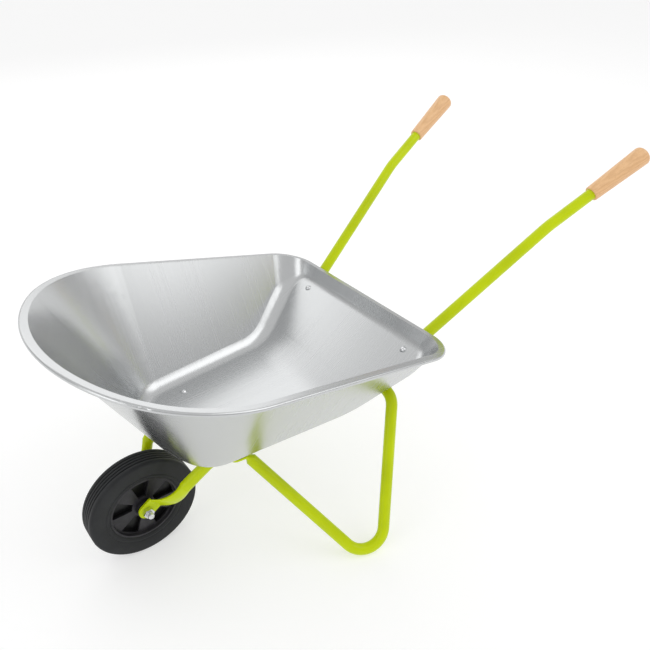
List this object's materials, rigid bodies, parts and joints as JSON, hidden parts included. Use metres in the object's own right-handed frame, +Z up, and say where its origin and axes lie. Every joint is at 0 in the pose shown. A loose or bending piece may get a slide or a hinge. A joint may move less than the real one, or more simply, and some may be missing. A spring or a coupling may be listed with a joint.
{
  "type": "wheelbarrow",
  "caption": "Small single-wheel garden wheelbarrow: pressed steel tray with a rolled rim on bent tube handles with stand legs, wooden grips and a rubber-tyred wheel.",
  "frame": {"origin": "on the ground, under the middle of the bounding box", "axes": "+X forward to the wheel, +Y to the left hand of the person pushing, +Z up"},
  "size_m": [0.823, 0.4284, 0.4653],
  "materials": {
    "galvanised_tray": "dull bright zinc coat with soft streaks",
    "lime_paint": "gloss lime green powder coat",
    "beech": "smooth turned, clear lacquer",
    "tyre_rubber": "matt black rubber",
    "rim_plastic": "moulded black plastic",
    "zinc": "bright zinc plate"
  },
  "bodies": {
    "frame": {"tray": "galvanised_tray", "handle_tube_left": "lime_paint", "handle_tube_right": "lime_paint", "leg_left": "lime_paint", "leg_right": "lime_paint", "grip_left": "beech", "grip_right": "beech", "axle_washer_left": "zinc", "axle_washer_right": "zinc", "axle_bolt": "zinc", "axle_nut": "zinc", "tray_bolt_front_left": "zinc", "tray_bolt_front_right": "zinc", "tray_washer_front_left": "zinc", "tray_washer_front_right": "zinc", "tray_nut_front_left": "zinc", "tray_nut_front_right": "zinc", "tray_bolt_rear_left": "zinc", "tray_bolt_rear_right": "zinc", "tray_washer_rear_left": "zinc", "tray_washer_rear_right": "zinc", "tray_nut_rear_left": "zinc", "tray_nut_rear_right": "zinc"},
    "wheel": {"tyre": "tyre_rubber", "wheel_rim": "rim_plastic"}
  },
  "joints": [
    {"name": "wheel_spin", "type": "hinge", "parent": "frame", "child": "wheel", "pos_m": [0.32739, 0, 0.075], "axis": [0, 1, 0], "continuous": true}
  ]
}
